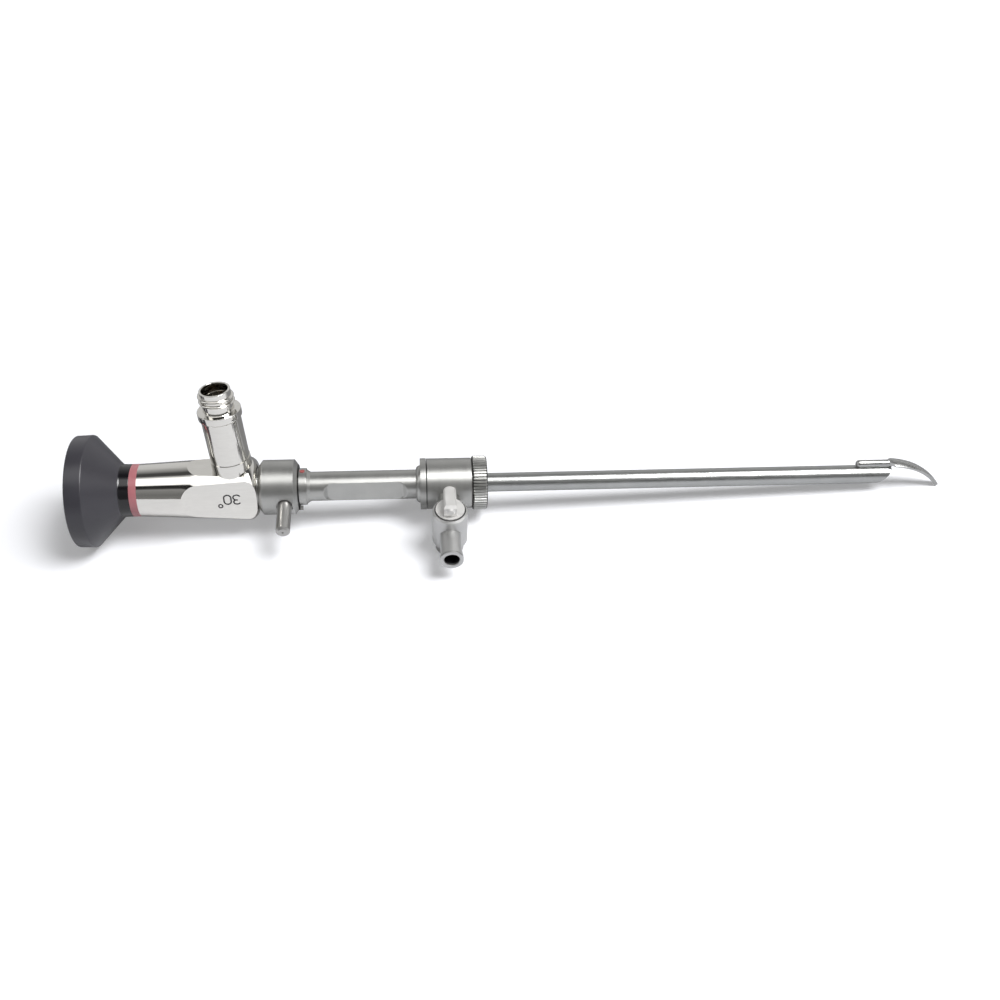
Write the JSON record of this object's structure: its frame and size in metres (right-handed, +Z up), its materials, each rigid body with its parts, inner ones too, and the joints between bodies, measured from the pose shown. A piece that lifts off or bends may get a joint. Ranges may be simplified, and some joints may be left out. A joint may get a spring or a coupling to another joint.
{
  "type": "rigid endoscope with operating sheath",
  "caption": "Rigid 4 mm endoscope with a 30 degree view, locked in a sheath with a turning stopcock hub, a knurled nut and a curved spatula tip.",
  "frame": {"origin": "centre of the bounding box's base, on the table that the instrument lies on", "axes": "+X along the instrument towards the spatula, +Z up from the table, -Y towards the stopcock"},
  "size_m": [0.2536, 0.0458, 0.0471],
  "materials": {
    "black_plastic": "fine moulded satin",
    "red_ring": "satin, slightly faded",
    "polished_steel": "mirror polished stainless steel",
    "satin_steel": "bead blasted and turned satin stainless steel",
    "tube_steel": "drawn tube, long satin grain",
    "bright_steel": "turned bright stainless steel",
    "shaft_steel": "satin stainless tube",
    "window_glass": "polished, coated",
    "lens_glass": "polished",
    "fibre_end": "potted and polished glass fibre",
    "black_anodised": "black anodised",
    "seal_rubber": "moulded",
    "red_enamel": "enamel filled recess"
  },
  "bodies": {
    "instrument": {"eyepiece_cup": "black_plastic", "eyepiece_window": "window_glass", "colour_ring": "red_ring", "telescope_body": "polished_steel", "ocular_mount": "black_anodised", "ocular_lens": "lens_glass", "light_post_base": "polished_steel", "light_post_sleeve": "polished_steel", "light_guide_connector": "polished_steel", "light_ferrule": "fibre_end", "fibre_bundle": "fibre_end", "light_fibres": "fibre_end", "telescope_shaft": "shaft_steel", "optics_tube": "shaft_steel", "rod_lenses": "lens_glass", "lens_spacers": "black_anodised", "objective_prism": "lens_glass", "distal_window": "window_glass", "lock_retainer": "satin_steel", "sheath_neck": "satin_steel", "index_dot": "red_enamel", "scope_seal": "seal_rubber", "knurled_nut": "satin_steel", "sheath_tube": "tube_steel", "spatula": "tube_steel"},
    "lock_ring": {"lock_collar": "satin_steel", "lever_pin": "bright_steel"},
    "hub": {"hub_barrel": "satin_steel", "hub_seals": "seal_rubber", "stopcock_body": "satin_steel", "luer_connector": "satin_steel"},
    "tap": {"tap_plug": "satin_steel", "tap_washer": "bright_steel", "tap_nut": "bright_steel", "tap_lever": "satin_steel"}
  },
  "joints": [
    {"name": "lock_turn", "type": "hinge", "parent": "instrument", "child": "lock_ring", "pos_m": [-0.06992, 0.00689, 0.01356], "axis": [-0.9989, 0, 0.047], "range_deg": [0, 60]},
    {"name": "hub_turn", "type": "hinge", "parent": "instrument", "child": "hub", "pos_m": [-0.0217, 0.00689, 0.01129], "axis": [0.9989, 0, -0.047], "continuous": true},
    {"name": "tap_turn", "type": "hinge", "parent": "hub", "child": "tap", "pos_m": [-0.02179, -0.00952, 0.00954], "axis": [0.0467, -0.1061, 0.9933], "range_deg": [-90, 90]}
  ]
}
